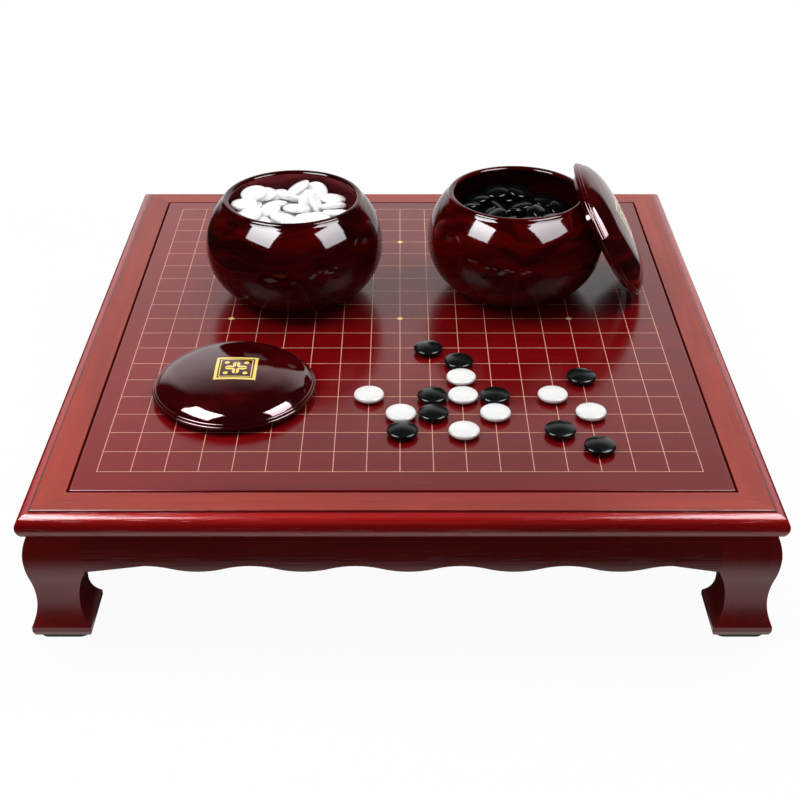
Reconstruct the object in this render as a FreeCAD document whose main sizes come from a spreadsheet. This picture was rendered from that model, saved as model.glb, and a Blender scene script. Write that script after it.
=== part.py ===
import FreeCAD, Part
import math
import os
import Sketcher

# A low table for the game of Go: a mitred frame holds a loose playing panel, and four
# waisted legs and four scalloped aprons carry it.  Two turned bowls full of stones, their
# domed lids and the stones in play stand on the panel.
# Millimetres.  Origin: the middle of the table on the floor.  +X right, +Y back, +Z up.

doc = FreeCAD.newDocument("go_table")

# ---------------------------------------------------------------- driving dimensions

DIMENSIONS = [
    # the table as a whole
    ("table_width", 485.4),        # over the frame's moulding, left to right
    ("table_depth", 514.0),        # over the frame's moulding, front to back
    ("table_height", 99.0),        # floor to the top of the frame
    # frame rails: a flat top, a bead, a thumbnail moulding outside and a ledge inside
    ("rail_flat", 18.5),
    ("rail_thick", 16.0),
    ("mould_reach", 9.2),          # the moulding stands this far outside the flat
    ("bead_run", 0.9),
    ("bead_drop", 0.9),
    ("bead_radius", 1.2),
    ("mould_shoulder", 5.0),       # how far out the moulding's top quarter starts to fall
    ("mould_shoulder_drop", 2.0),
    ("mould_widest_drop", 8.4),
    ("mould_tuck", 2.4),           # the underside draws back in by this much
    ("ledge_wide", 9.0),
    # the tongue glued across each mitre
    ("tongue_wide", 14.0),
    ("tongue_thick", 3.0),
    ("tongue_wall", 1.15),         # wood left between the tongue and the rail's two faces
    ("tongue_gap", 0.1),           # round its edges; its two broad faces touch
    # the loose playing panel
    ("panel_thick", 10.0),
    ("panel_gap", 1.6),
    ("panel_proud", 0.3),
    ("panel_arris", 1.0),
    # the two battens under the panel
    ("batten_wide", 30.0),
    ("batten_rise", 0.8),          # the batten's underside, above the frame's
    ("batten_place", 105.0),
    ("batten_lap", 2.8),
    ("batten_gap", 0.1),
    # legs: reaches are measured out from the flat's outer edge, insets in from it
    ("neck_reach", 3.3),
    ("knee_reach", 7.9),
    ("ankle_reach", 4.2),
    ("foot_reach", 9.2),
    ("knee_drop", 19.0),           # below the frame
    ("ankle_height", 31.0),
    ("foot_top", 10.0),
    ("foot_bevel_rise", 3.4),
    ("foot_bevel_run", 1.2),
    ("leg_inset", 30.0),           # the leg's inner face, where the apron meets it
    ("leg_corner_drop", 29.5),     # where the leg's inner curve starts, below the frame
    ("ankle_inset", 23.5),
    ("ankle_inner_height", 27.5),
    ("foot_inset", 29.8),
    # pads under the feet
    ("pad_inset", 1.3),            # the pad stands back from the foot's edges
    ("pad_thick", 3.0),
    ("pad_round", 7.0),
    # aprons
    ("apron_back", 10.0),          # inset of the apron's back face
    ("crest_drop", 22.7),          # the scallops' crests, below the frame
    ("scallop_drop", 5.0),
    ("scallop_end_crest", 35.0),   # the last crest's distance from the leg
    ("scallop_shift", 4.0),        # the scallops are cut this far off centre
    ("tenon_long", 12.0),
    ("tenon_thick", 6.0),
    ("tenon_tall", 15.0),
    ("tenon_gap", 0.1),
    # blocks glued and screwed into the corners under the frame
    ("block_arm", 62.0),
    ("block_tall", 14.0),
    ("screw_radius", 1.9),
    ("screw_long", 24.0),
    ("screw_head_radius", 3.5),
    ("screw_head_tall", 3.0),
    ("screw_sink", 0.5),
    ("screw_from_end", 15.0),      # along the rail, from the end of the block's arm
    ("screw_inset", 14.2),         # from the flat's outer edge, across the rail
    ("screw_gap", 0.05),
    # the grid on the panel: pitch of its lines, and its middle from the table's middle
    ("pitch_across", 22.0),
    ("pitch_along", 23.3),
    ("grid_shift_across", -1.4),
    ("grid_shift_along", 3.3),
    # stones, sized to leave a little room between neighbours on the grid
    ("stone_clear", 0.3),
    ("stone_thick", 6.6),
    ("stone_flat", 4.0),
    ("stone_edge_tall", 3.2),
    ("stone_edge_reach", 1.12),    # how far the round edge stands out of the domes
    # bowls
    ("bowl_radius", 70.0),
    ("bowl_height", 83.0),
    ("bowl_widest_height", 43.0),
    ("bowl_foot_radius", 38.0),
    ("bowl_foot_recess", 1.0),
    ("bowl_foot_ring", 6.0),
    ("bowl_floor_inset", 3.0),     # the floor inside is this much smaller than the foot
    ("bowl_mouth_radius", 49.5),
    ("bowl_lip_thick", 5.0),
    ("bowl_wall", 8.4),
    ("bowl_floor", 8.5),
    ("white_bowl_across", -85.3),
    ("white_bowl_along", 51.3),
    ("black_bowl_across", 90.8),
    ("black_bowl_along", 60.3),
    # lids
    ("lid_overhang", 3.5),         # the lid's rim stands past the bowl's lip
    ("lid_height", 22.0),
    ("lid_flange_under", 3.8),
    ("lid_edge_thick", 2.6),
    ("lid_edge_bulge", 0.9),
    ("lid_bead_step", 1.4),
    ("lid_bead_radius", 1.3),
    ("lid_dome_edge", 2.7),        # the dome starts this far inside the rim
    ("lid_dome_start", 8.2),
    ("lid_shoulder_inset", 22.0),  # in from the rim, where the crown begins
    ("lid_shoulder_height", 19.0),
    ("lid_shoulder_bend", 34.5),
    ("lid_mouth_gap", 0.6),        # slack between the lid's spigot and the bowl's mouth
    ("lid_spigot_wall", 2.2),
    ("lid_wall", 4.6),
    ("white_lid_across", -119.4),
    ("white_lid_along", -106.2),
    ("black_lid_bearing", -0.8),   # degrees from +X towards +Y, seen from its bowl
    ("black_lid_lean", 60.3),      # degrees from lying flat
    ("black_lid_turn", -2.8),      # degrees that its lean turns from +X towards +Y
    # heaps of stones in the bowls
    ("heap_slack", 6.4),           # between the heap and the bowl's mouth
    ("heap_gap", 0.12),            # between one stone and the next
    ("white_heap_top", 80.0),      # above the bowl's foot
    ("black_heap_top", 70.0),
    # clearance between loose pieces that would otherwise touch on curved faces
    ("rest_gap", 0.3),
]

sheet = doc.addObject("Spreadsheet::Sheet", "dims")
for row, (alias, number) in enumerate(DIMENSIONS, start=1):
    sheet.set(f"A{row}", alias)
    sheet.set(f"B{row}", str(number))
    sheet.setAlias(f"B{row}", alias)
doc.recompute()


class Size:
    """A length with its number and the sheet formula that gives that number."""

    def __init__(self, number, formula):
        self.number = float(number)
        self.formula = formula

    def _with(self, sign, other, number, swap=False):
        other = plain(other)
        left, right = (other, self) if swap else (self, other)
        return Size(number(left.number, right.number), f"({left.formula} {sign} {right.formula})")

    def __add__(self, other):
        return self._with("+", other, lambda a, b: a + b)

    def __radd__(self, other):
        return self._with("+", other, lambda a, b: a + b, swap=True)

    def __sub__(self, other):
        return self._with("-", other, lambda a, b: a - b)

    def __rsub__(self, other):
        return self._with("-", other, lambda a, b: a - b, swap=True)

    def __mul__(self, other):
        return self._with("*", other, lambda a, b: a * b)

    def __rmul__(self, other):
        return self._with("*", other, lambda a, b: a * b, swap=True)

    def __truediv__(self, other):
        return self._with("/", other, lambda a, b: a / b)

    def __neg__(self):
        return Size(-self.number, f"(0 - {self.formula})")


def plain(value):
    return value if isinstance(value, Size) else Size(value, repr(float(value)))


def dim(alias):
    return Size(sheet.get(alias), f"dims.{alias}")


def bind(thing, name, size):
    """Set a property or a sketch constraint from the sheet."""
    thing.setExpression(name, plain(size).formula)


# ---------------------------------------------------------------- sketches and solids

UPRIGHT_ACROSS = FreeCAD.Rotation(FreeCAD.Vector(1, 0, 0), 90)   # sketch x, y -> X, Z
UPRIGHT_ALONG = FreeCAD.Rotation(FreeCAD.Vector(1, 1, 1), 120)   # sketch x, y -> Y, Z
LEVEL = FreeCAD.Rotation()                                       # sketch x, y -> X, Y
UP = FreeCAD.Vector(0, 0, 1)
PAST = 1.0             # how far a cutting tool reaches past the face it starts from


def arc_middle(start, end, radius, turn):
    """The middle of the short arc from start to end: turn +1 bulges left of the chord."""
    chord = end - start
    half = chord.Length / 2
    reach = max(radius, half)
    rise = reach - math.sqrt(max(reach * reach - half * half, 0.0))
    left = FreeCAD.Vector(-chord.y, chord.x, 0).normalize()
    return start + chord * 0.5 + left * (rise * turn)


def draw(sketch, outline):
    """Draw a closed outline, each corner held by the sheet.

    Every entry is (x, y) for a straight run to the next corner, or (x, y, radius, turn)
    for an arc to it.
    """
    corners = [FreeCAD.Vector(plain(c[0]).number, plain(c[1]).number, 0) for c in outline]
    for index, entry in enumerate(outline):
        start, end = corners[index], corners[(index + 1) % len(outline)]
        if len(entry) == 2:
            sketch.addGeometry(Part.LineSegment(start, end), False)
        else:
            middle = arc_middle(start, end, plain(entry[2]).number, entry[3])
            sketch.addGeometry(Part.Arc(start, middle, end), False)

    def end_of(index, last):
        # an arc is kept anticlockwise, so one that bulges left starts at its far end
        entry = outline[index]
        flipped = len(entry) == 4 and entry[3] > 0
        return 2 if last != flipped else 1

    for index, entry in enumerate(outline):
        following = (index + 1) % len(outline)
        sketch.addConstraint(Sketcher.Constraint(
            "Coincident", index, end_of(index, True), following, end_of(following, False)))
    for index, entry in enumerate(outline):
        for kind, size in (("DistanceX", entry[0]), ("DistanceY", entry[1])):
            number = plain(size).number
            place = sketch.addConstraint(Sketcher.Constraint(
                kind, -1, 1, index, end_of(index, False), number))
            bind(sketch, f"Constraints[{place}]", size)
        if len(entry) == 4:
            place = sketch.addConstraint(Sketcher.Constraint(
                "Radius", index, plain(entry[2]).number))
            bind(sketch, f"Constraints[{place}]", entry[2])


def free_sketch(name, turn, outline):
    sketch = doc.addObject("Sketcher::SketchObject", name)
    sketch.Placement = FreeCAD.Placement(FreeCAD.Vector(), turn)
    draw(sketch, outline)
    return sketch


def prism(name, turn, outline, forward, backward=0.0):
    """A straight prism on a sketch, forward along the sketch's normal and backward."""
    sketch = free_sketch(name + "_outline", turn, outline)
    solid = doc.addObject("Part::Extrusion", name)
    solid.Base = sketch
    solid.DirMode = "Normal"
    solid.Solid = True
    bind(solid, "LengthFwd", forward)
    bind(solid, "LengthRev", backward)
    return solid


def block(name, length, width, height, corner):
    solid = doc.addObject("Part::Box", name)
    bind(solid, "Length", length)
    bind(solid, "Width", width)
    bind(solid, "Height", height)
    for axis, size in zip("xyz", corner):
        bind(solid, f"Placement.Base.{axis}", size)
    return solid


def round_bar(name, radius, height, foot):
    solid = doc.addObject("Part::Cylinder", name)
    bind(solid, "Radius", radius)
    bind(solid, "Height", height)
    for axis, size in zip("xyz", foot):
        bind(solid, f"Placement.Base.{axis}", size)
    return solid


def common(name, *solids):
    result = doc.addObject("Part::MultiCommon", name)
    result.Shapes = list(solids)
    return result


def fuse(name, *solids):
    result = doc.addObject("Part::MultiFuse", name)
    result.Shapes = list(solids)
    result.Refine = True
    return result


def cut(name, solid, *tools):
    result = doc.addObject("Part::Cut", name)
    result.Base = solid
    result.Tool = tools[0] if len(tools) == 1 else fuse(name + "_tools", *tools)
    return result


def body_sketch(body, role, outline):
    """A sketch on one of the body's own origin planes."""
    sketch = body.newObject("Sketcher::SketchObject", body.Name + "_sketch")
    plane = [f for f in body.Origin.OriginFeatures if f.Role == role][0]
    sketch.AttachmentSupport = [(plane, "")]
    sketch.MapMode = "FlatFace"
    draw(sketch, outline)
    return sketch


def turned_body(name, outline):
    """A body turned about its own Z axis: the outline is (radius, height)."""
    body = doc.addObject("PartDesign::Body", name)
    sketch = body_sketch(body, "XZ_Plane", outline)
    doc.recompute()
    turning = body.newObject("PartDesign::Revolution", name + "_turning")
    turning.Profile = sketch
    turning.ReferenceAxis = (sketch, ["V_Axis"])
    turning.Angle = 360.0
    body.Tip = turning
    return body


def square_outline(half_across, half_along):
    return [(-half_across, -half_along), (half_across, -half_along),
            (half_across, half_along), (-half_across, half_along)]


def rounded_slab(name, half_across, half_along, thick, radius, level_edges):
    """A slab on the floor with either its level or its upright edges rounded."""
    body = doc.addObject("PartDesign::Body", name)
    sketch = body_sketch(body, "XY_Plane", square_outline(half_across, half_along))
    doc.recompute()
    slab = body.newObject("PartDesign::Pad", name + "_slab")
    slab.Profile = sketch
    bind(slab, "Length", thick)
    doc.recompute()
    rounding = body.newObject("PartDesign::Fillet", name + "_rounding")
    rounding.Base = (slab, [
        f"Edge{index}" for index, edge in enumerate(slab.Shape.Edges, start=1)
        if (abs(edge.tangentAt(edge.FirstParameter).z) < 0.5) == level_edges])
    bind(rounding, "Radius", radius)
    body.Tip = rounding
    return body


def copies(name, source_shape, placements):
    """One node that groups many equal solids."""
    group = doc.addObject("Part::Feature", name)
    solids = []
    for placement in placements:
        solid = source_shape.copy()
        solid.Placement = placement.multiply(solid.Placement)
        solids.append(solid)
    group.Shape = Part.makeCompound(solids)
    return group


def stand(thing, across, along, height, turn=None):
    """Put a finished sub-part in its place."""
    if turn is not None:
        thing.Placement = FreeCAD.Placement(FreeCAD.Vector(), turn)
    for axis, size in zip("xyz", (across, along, height)):
        bind(thing, f"Placement.Base.{axis}", size)


nodes = []


def keep(label, thing):
    thing.Label = label
    nodes.append(thing)
    return thing


# ---------------------------------------------------------------- shared lines

SIDES = (("front", 0), ("right", 90), ("back", 180), ("left", 270))
CORNERS = (("front_left", 0), ("front_right", 90), ("back_right", 180), ("back_left", 270))

half_width = dim("table_width") / 2
half_depth = dim("table_depth") / 2
flat_half_width = half_width - dim("mould_reach")       # to the flat's outer edge
flat_half_depth = half_depth - dim("mould_reach")
open_half_width = flat_half_width - dim("rail_flat")    # to the recess
open_half_depth = flat_half_depth - dim("rail_flat")
frame_top = dim("table_height")
frame_bottom = frame_top - dim("rail_thick")
ledge_top = frame_top + dim("panel_proud") - dim("panel_thick")
playing_surface = frame_top + dim("panel_proud")
knee_height = frame_bottom - dim("knee_drop")
leg_corner_height = frame_bottom - dim("leg_corner_drop")
scallop_crest = frame_bottom - dim("crest_drop")
screw_along = dim("block_arm") - dim("screw_from_end")  # from the flat's outer edge
batten_thick = ledge_top - frame_bottom - dim("batten_rise")
stone_radius = dim("pitch_across") / 2 - dim("stone_clear")
lid_radius = dim("bowl_mouth_radius") + dim("bowl_lip_thick") + dim("lid_overhang")


def halves(angle):
    """(half across the rail's length, half along the way it faces) of the flat."""
    if angle % 180 == 0:
        return flat_half_width, flat_half_depth
    return flat_half_depth, flat_half_width


def turn_to(angle):
    return FreeCAD.Rotation(UP, angle)


def arc_radius(run, rise):
    """Radius of an arc that is upright at one end and has this run and rise."""
    return (run * run + rise * rise) / (2 * run)


# ---------------------------------------------------------------- frame rails

def rail_section(facing):
    """Outline of the front rail across its length: x is table Y, y is height."""
    flat = -facing
    bottom_edge = flat - dim("mould_reach") + dim("mould_tuck")
    bead = flat - dim("bead_run")
    shoulder = flat - dim("mould_shoulder")
    widest = flat - dim("mould_reach")
    recess = flat + dim("rail_flat")
    widest_height = frame_top - dim("mould_widest_drop")
    shoulder_height = frame_top - dim("mould_shoulder_drop")
    lower_radius = arc_radius(dim("mould_tuck"), widest_height - frame_bottom)
    upper_radius = arc_radius(dim("mould_reach") - dim("mould_shoulder"),
                              shoulder_height - widest_height)
    return [
        (recess, frame_top),
        (flat, frame_top, dim("bead_radius"), -1),
        (bead, frame_top - dim("bead_drop"), dim("mould_reach"), -1),
        (shoulder, shoulder_height, upper_radius, -1),
        (widest, widest_height, lower_radius, -1),
        (bottom_edge, frame_bottom),
        (recess + dim("ledge_wide"), frame_bottom),
        (recess + dim("ledge_wide"), ledge_top),
        (recess, ledge_top),
    ]


def make_rail(side, angle):
    across, facing = halves(angle)
    end = across + dim("mould_reach")
    outer = facing + dim("mould_reach")
    full = dim("rail_flat") + dim("mould_reach") + dim("ledge_wide")
    bar = prism(f"rail_{side}_bar", UPRIGHT_ALONG, rail_section(facing), end, end)
    plan = prism(f"rail_{side}_plan", LEVEL, [
        (-end, -outer), (end, -outer),
        (end - full, full - outer), (full - end, full - outer),
    ], frame_top + PAST)
    mitred = common(f"rail_{side}_mitred", bar, plan)
    tools = [tongue(f"rail_{side}_slot_{name}", across, facing, sign, dim("tongue_gap"))
             for name, sign in (("left", -1), ("right", 1))]
    pilot_deep = dim("screw_long") + dim("screw_sink") - dim("block_tall") + dim("screw_gap")
    for name, sign in (("left", -1), ("right", 1)):
        tools.append(round_bar(
            f"rail_{side}_pilot_{name}", dim("screw_radius") + dim("screw_gap"),
            pilot_deep + PAST,
            (sign * (across - screw_along), dim("screw_inset") - facing, frame_bottom - PAST)))
    if side in ("front", "back"):
        for name, sign in (("left", -1), ("right", 1)):
            half_notch = dim("batten_wide") / 2 + dim("batten_gap")
            tools.append(block(
                f"rail_{side}_notch_{name}", half_notch * 2, dim("ledge_wide") + PAST,
                dim("batten_lap") + PAST,
                (sign * dim("batten_place") - half_notch, dim("rail_flat") - facing,
                 ledge_top - dim("batten_lap"))))
    rail = cut(f"rail_{side}", mitred, *tools)
    stand(rail, 0, 0, 0, turn_to(angle))
    keep(f"frame_rail_{side}", rail)


def tongue(name, across, facing, sign, gap):
    """The tongue across the mitre at one end of the front rail, grown by a gap."""
    # it lies at 45 degrees, so its corners come nearest to the rail's inner and outer faces
    clear = dim("rail_flat") + dim("mould_reach") - 2 * dim("tongue_wall")
    long = clear * math.sqrt(2) - dim("tongue_wide") + 2 * gap
    wide = dim("tongue_wide") + 2 * gap
    thick = dim("tongue_thick")
    inward = (dim("rail_flat") - dim("mould_reach")) / 2
    slip = block(name + "_slip", wide, long, thick, (-wide / 2, -long / 2, -thick / 2))
    placed = doc.addObject("Part::Compound", name)
    placed.Links = [slip]
    stand(placed, sign * (across - inward), inward - facing,
          frame_top - dim("panel_thick") / 2 - dim("mould_shoulder_drop"), turn_to(45 * sign))
    return placed


for side, angle in SIDES:
    make_rail(side, angle)

for corner, angle in CORNERS:
    across, facing = halves(angle)
    glued = tongue(f"mitre_{corner}", across, facing, -1, plain(0))
    loose = doc.addObject("Part::Compound", f"mitre_{corner}_placed")
    loose.Links = [glued]
    stand(loose, 0, 0, 0, turn_to(angle))
    keep(f"mitre_tongue_{corner}", loose)

# ---------------------------------------------------------------- playing panel and battens

panel_half_width = open_half_width - dim("panel_gap")
panel_half_depth = open_half_depth - dim("panel_gap")


def make_panel():
    panel = rounded_slab("panel", panel_half_width, panel_half_depth, dim("panel_thick"),
                         dim("panel_arris"), level_edges=True)
    stand(panel, 0, 0, ledge_top)
    keep("playing_panel", panel)


def make_batten(name, sign):
    """A slat under the panel: full thickness between the ledges, lapped over them."""
    half_wide = dim("batten_wide") / 2
    clear = open_half_depth - dim("ledge_wide") - dim("batten_gap")
    reach = open_half_depth - dim("batten_gap")
    middle = block(f"batten_{name}_middle", half_wide * 2, clear * 2, batten_thick,
                   (-half_wide, -clear, ledge_top - batten_thick))
    laps = block(f"batten_{name}_laps", half_wide * 2, reach * 2,
                 dim("batten_lap") - dim("batten_gap"),
                 (-half_wide, -reach, ledge_top - dim("batten_lap") + dim("batten_gap")))
    slat = fuse(f"batten_{name}", middle, laps)
    stand(slat, sign * dim("batten_place"), 0, 0)
    keep(f"panel_batten_{name}", slat)


make_panel()
make_batten("left", -1)
make_batten("right", 1)

# ---------------------------------------------------------------- legs, aprons, pads

foot_bottom = dim("pad_thick")


def knee_curve():
    """The outside of leg and apron above mid height: (reach, height, radius, turn)."""
    run = dim("knee_reach") - dim("ankle_reach")
    rise = knee_height - dim("ankle_height")
    sweep_radius = (run * run + rise * rise) / (4 * run)
    neck_radius = arc_radius(dim("knee_reach") - dim("neck_reach"), dim("knee_drop"))
    return sweep_radius, [
        ((dim("knee_reach") + dim("ankle_reach")) / 2,
         (knee_height + dim("ankle_height")) / 2, sweep_radius, 1),
        (dim("knee_reach"), knee_height, neck_radius, 1),
        (dim("neck_reach"), frame_bottom),
    ]


def outer_curve():
    """The outside of the leg from the foot to the frame."""
    sweep_radius, above = knee_curve()
    foot_radius = arc_radius(dim("foot_reach") - dim("ankle_reach"),
                             dim("ankle_height") - dim("foot_top"))
    return [
        (dim("foot_reach"), dim("foot_top"), foot_radius, -1),
        (dim("ankle_reach"), dim("ankle_height"), sweep_radius, -1),
    ] + above


def leg_profile(origin):
    """One face of the leg seen square on; origin is the flat's outer edge line."""
    bevel_height = foot_bottom + dim("foot_bevel_rise")
    foot_bottom_in = origin + dim("foot_inset") - dim("foot_bevel_run")
    inner_foot_radius = arc_radius(dim("foot_inset") - dim("ankle_inset"),
                                   dim("ankle_inner_height") - dim("foot_top"))
    inner_leg_radius = arc_radius(dim("leg_inset") - dim("ankle_inset"),
                                  leg_corner_height - dim("ankle_inner_height"))
    outline = [(origin - dim("foot_reach") + dim("foot_bevel_run"), foot_bottom),
               (origin - dim("foot_reach"), bevel_height)]
    for reach, height, *arc in outer_curve():
        outline.append((origin - reach, height, *arc))
    outline += [
        (origin + dim("leg_inset"), frame_bottom),
        (origin + dim("leg_inset"), leg_corner_height, inner_leg_radius, -1),
        (origin + dim("ankle_inset"), dim("ankle_inner_height"), inner_foot_radius, -1),
        (origin + dim("foot_inset"), dim("foot_top")),
        (origin + dim("foot_inset"), bevel_height),
        (foot_bottom_in, foot_bottom),
    ]
    return outline


def tenon(name, across, facing, sign, gap):
    """The tenon at one end of the front apron, or with a gap the mortise for it."""
    joint = across - dim("leg_inset")
    long = dim("tenon_long") + gap
    start = joint if sign > 0 else -(joint + long)
    middle_height = (frame_bottom + scallop_crest) / 2
    middle_inset = (dim("apron_back") - dim("neck_reach")) / 2
    return block(name, long, dim("tenon_thick") + 2 * gap, dim("tenon_tall") + 2 * gap,
                 (start, middle_inset - facing - dim("tenon_thick") / 2 - gap,
                  middle_height - dim("tenon_tall") / 2 - gap))


def make_leg(corner, angle):
    across, facing = halves(angle)
    far = dim("leg_inset") + dim("foot_reach")
    face_on = prism(f"leg_{corner}_face", UPRIGHT_ACROSS, leg_profile(-across),
                    facing + far, far - facing)
    side_on = prism(f"leg_{corner}_side", UPRIGHT_ALONG, leg_profile(-facing),
                    far - across, across + far)
    shaped = common(f"leg_{corner}_shaped", face_on, side_on)
    own = tenon(f"leg_{corner}_mortise", across, facing, -1, dim("tenon_gap"))
    # the other mortise belongs to the apron round the corner, a quarter turn away
    other = tenon(f"leg_{corner}_mortise_beside_tool", facing, across, 1, dim("tenon_gap"))
    beside = doc.addObject("Part::Compound", f"leg_{corner}_mortise_beside")
    beside.Links = [other]
    beside.Placement = FreeCAD.Placement(FreeCAD.Vector(), turn_to(-90))
    leg = cut(f"leg_{corner}", shaped, own, beside)
    stand(leg, 0, 0, 0, turn_to(angle))
    keep(f"leg_{corner}", leg)


def scallops(joint):
    """The apron's lower edge from the left joint to the right: crests and drops."""
    count = 5
    crest = scallop_crest
    low = crest - dim("scallop_drop")
    first = dim("scallop_end_crest") - joint + dim("scallop_shift")
    half_pitch = (joint - dim("scallop_end_crest")) / count
    radius = (half_pitch * half_pitch / 4 + dim("scallop_drop") * dim("scallop_drop") / 4) \
        / dim("scallop_drop")
    corner_height = leg_corner_height + dim("scallop_drop") / 4
    points = [(-joint, corner_height)]
    for step in range(2 * count + 1):
        here = first + half_pitch * step
        is_crest = step % 2 == 0
        height = crest if is_crest else low
        turn = 1 if is_crest else -1
        if step == 2 * count:
            points.append((here, height))
            break
        points.append((here, height, radius, turn))
        points.append((here + half_pitch / 2, (crest + low) / 2, radius, -turn))
    points.append((joint, corner_height))
    return points


def make_apron(side, angle):
    across, facing = halves(angle)
    joint = across - dim("leg_inset")
    back = dim("apron_back") - facing
    curve = knee_curve()[1]
    section = [(back, curve[0][1])]
    for reach, height, *arc in curve:
        section.append((-facing - reach, height, *arc))
    section.append((back, frame_bottom))
    bar = prism(f"apron_{side}_bar", UPRIGHT_ALONG, section, joint, joint)
    edge = scallops(joint)
    edge += [(joint, frame_bottom), (-joint, frame_bottom)]
    far = facing + dim("foot_reach") + dim("knee_reach")
    face = prism(f"apron_{side}_face", UPRIGHT_ACROSS, edge, far, 0)
    shaped = common(f"apron_{side}_shaped", bar, face)
    apron = fuse(f"apron_{side}", shaped,
                 tenon(f"apron_{side}_tenon_left", across, facing, -1, plain(0)),
                 tenon(f"apron_{side}_tenon_right", across, facing, 1, plain(0)))
    stand(apron, 0, 0, 0, turn_to(angle))
    keep(f"apron_{side}", apron)


def corner_sign(angle):
    return {0: (-1, -1), 90: (1, -1), 180: (1, 1), 270: (-1, 1)}[angle]


def make_pad(corner, angle):
    half_foot = (dim("foot_inset") + dim("foot_reach")) / 2 - dim("foot_bevel_run")
    half = half_foot - dim("pad_inset")
    pad = rounded_slab(f"pad_{corner}", half, half, dim("pad_thick"), dim("pad_round"),
                       level_edges=False)
    x_sign, y_sign = corner_sign(angle)
    middle = (dim("foot_inset") - dim("foot_reach")) / 2
    stand(pad, x_sign * (flat_half_width - middle), y_sign * (flat_half_depth - middle), 0)
    keep(f"foot_pad_{corner}", pad)


def make_corner_block(corner, angle):
    """A block across the corner under the frame, notched round the leg."""
    across, facing = halves(angle)
    back, inset, arm = dim("apron_back"), dim("leg_inset"), dim("block_arm")

    def at(in_x, in_y):
        return (in_x - across, in_y - facing)

    solid = prism(f"corner_{corner}_solid", LEVEL, [
        at(inset, back), at(arm, back), at(back, arm), at(back, inset), at(inset, inset),
    ], dim("block_tall"))
    tools = []
    for name, spot in (("near", (screw_along, dim("screw_inset"))),
                       ("far", (dim("screw_inset"), screw_along))):
        x, y = at(*spot)
        tools.append(round_bar(f"corner_{corner}_hole_{name}",
                               dim("screw_radius") + dim("screw_gap"),
                               dim("block_tall") + 2 * PAST, (x, y, -PAST)))
        tools.append(round_bar(f"corner_{corner}_sink_{name}",
                               dim("screw_head_radius") + dim("screw_gap"),
                               dim("screw_head_tall") + dim("screw_sink") + PAST,
                               (x, y, -PAST)))
    drilled = cut(f"corner_{corner}", solid, *tools)
    stand(drilled, 0, 0, frame_bottom - dim("block_tall"), turn_to(angle))
    keep(f"corner_block_{corner}", drilled)


for corner, angle in CORNERS:
    make_leg(corner, angle)
for side, angle in SIDES:
    make_apron(side, angle)
for corner, angle in CORNERS:
    make_pad(corner, angle)
for corner, angle in CORNERS:
    make_corner_block(corner, angle)

# the screws that hold the blocks to the rails, head down in the block
screw = turned_body("screw_pattern", [
    (0, 0), (dim("screw_head_radius"), 0),
    (dim("screw_head_radius"), dim("screw_head_tall")),
    (dim("screw_radius"), dim("screw_head_tall")),
    (dim("screw_radius"), dim("screw_long") - dim("screw_radius")),
    (0, dim("screw_long")),
])
doc.recompute()
screw_height = (frame_bottom - dim("block_tall") + dim("screw_sink")).number
screw_spots = []
for x_sign in (-1, 1):
    for y_sign in (-1, 1):
        for in_x, in_y in ((screw_along, dim("screw_inset")),
                           (dim("screw_inset"), screw_along)):
            screw_spots.append(FreeCAD.Placement(FreeCAD.Vector(
                x_sign * (flat_half_width - in_x).number,
                y_sign * (flat_half_depth - in_y).number, screw_height), FreeCAD.Rotation()))
keep("corner_block_screws", copies("screws", screw.Shape, screw_spots))

# ---------------------------------------------------------------- bowls

NOT_QUITE_HALF = 0.01  # keeps the lip's arc just short of a half circle


def bowl_outline():
    radius, widest = dim("bowl_radius"), dim("bowl_widest_height")
    mouth = dim("bowl_mouth_radius")
    lip = dim("bowl_lip_thick")
    lip_height = dim("bowl_height") - lip / 2
    outer_lip = mouth + lip
    foot = dim("bowl_foot_radius")
    inside = radius - dim("bowl_wall")
    floor = dim("bowl_floor")
    floor_radius = foot - dim("bowl_floor_inset")
    return [
        (0, dim("bowl_foot_recess")),
        (foot - dim("bowl_foot_ring"), dim("bowl_foot_recess")),
        (foot - dim("bowl_foot_ring"), 0),
        (foot, 0, arc_radius(radius - foot, widest), -1),
        (radius, widest, arc_radius(radius - outer_lip, lip_height - widest), -1),
        (outer_lip, lip_height, lip / 2 + NOT_QUITE_HALF, -1),
        (mouth, lip_height, arc_radius(inside - mouth, lip_height - widest), 1),
        (inside, widest, arc_radius(inside - floor_radius, widest - floor), 1),
        (floor_radius, floor),
        (0, floor),
    ]


def make_bowl(name, across, along):
    bowl = turned_body(f"bowl_{name}", bowl_outline())
    stand(bowl, across, along, playing_surface)
    keep(f"bowl_{name}", bowl)


make_bowl("white", dim("white_bowl_across"), dim("white_bowl_along"))
make_bowl("black", dim("black_bowl_across"), dim("black_bowl_along"))

# ---------------------------------------------------------------- lids


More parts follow.
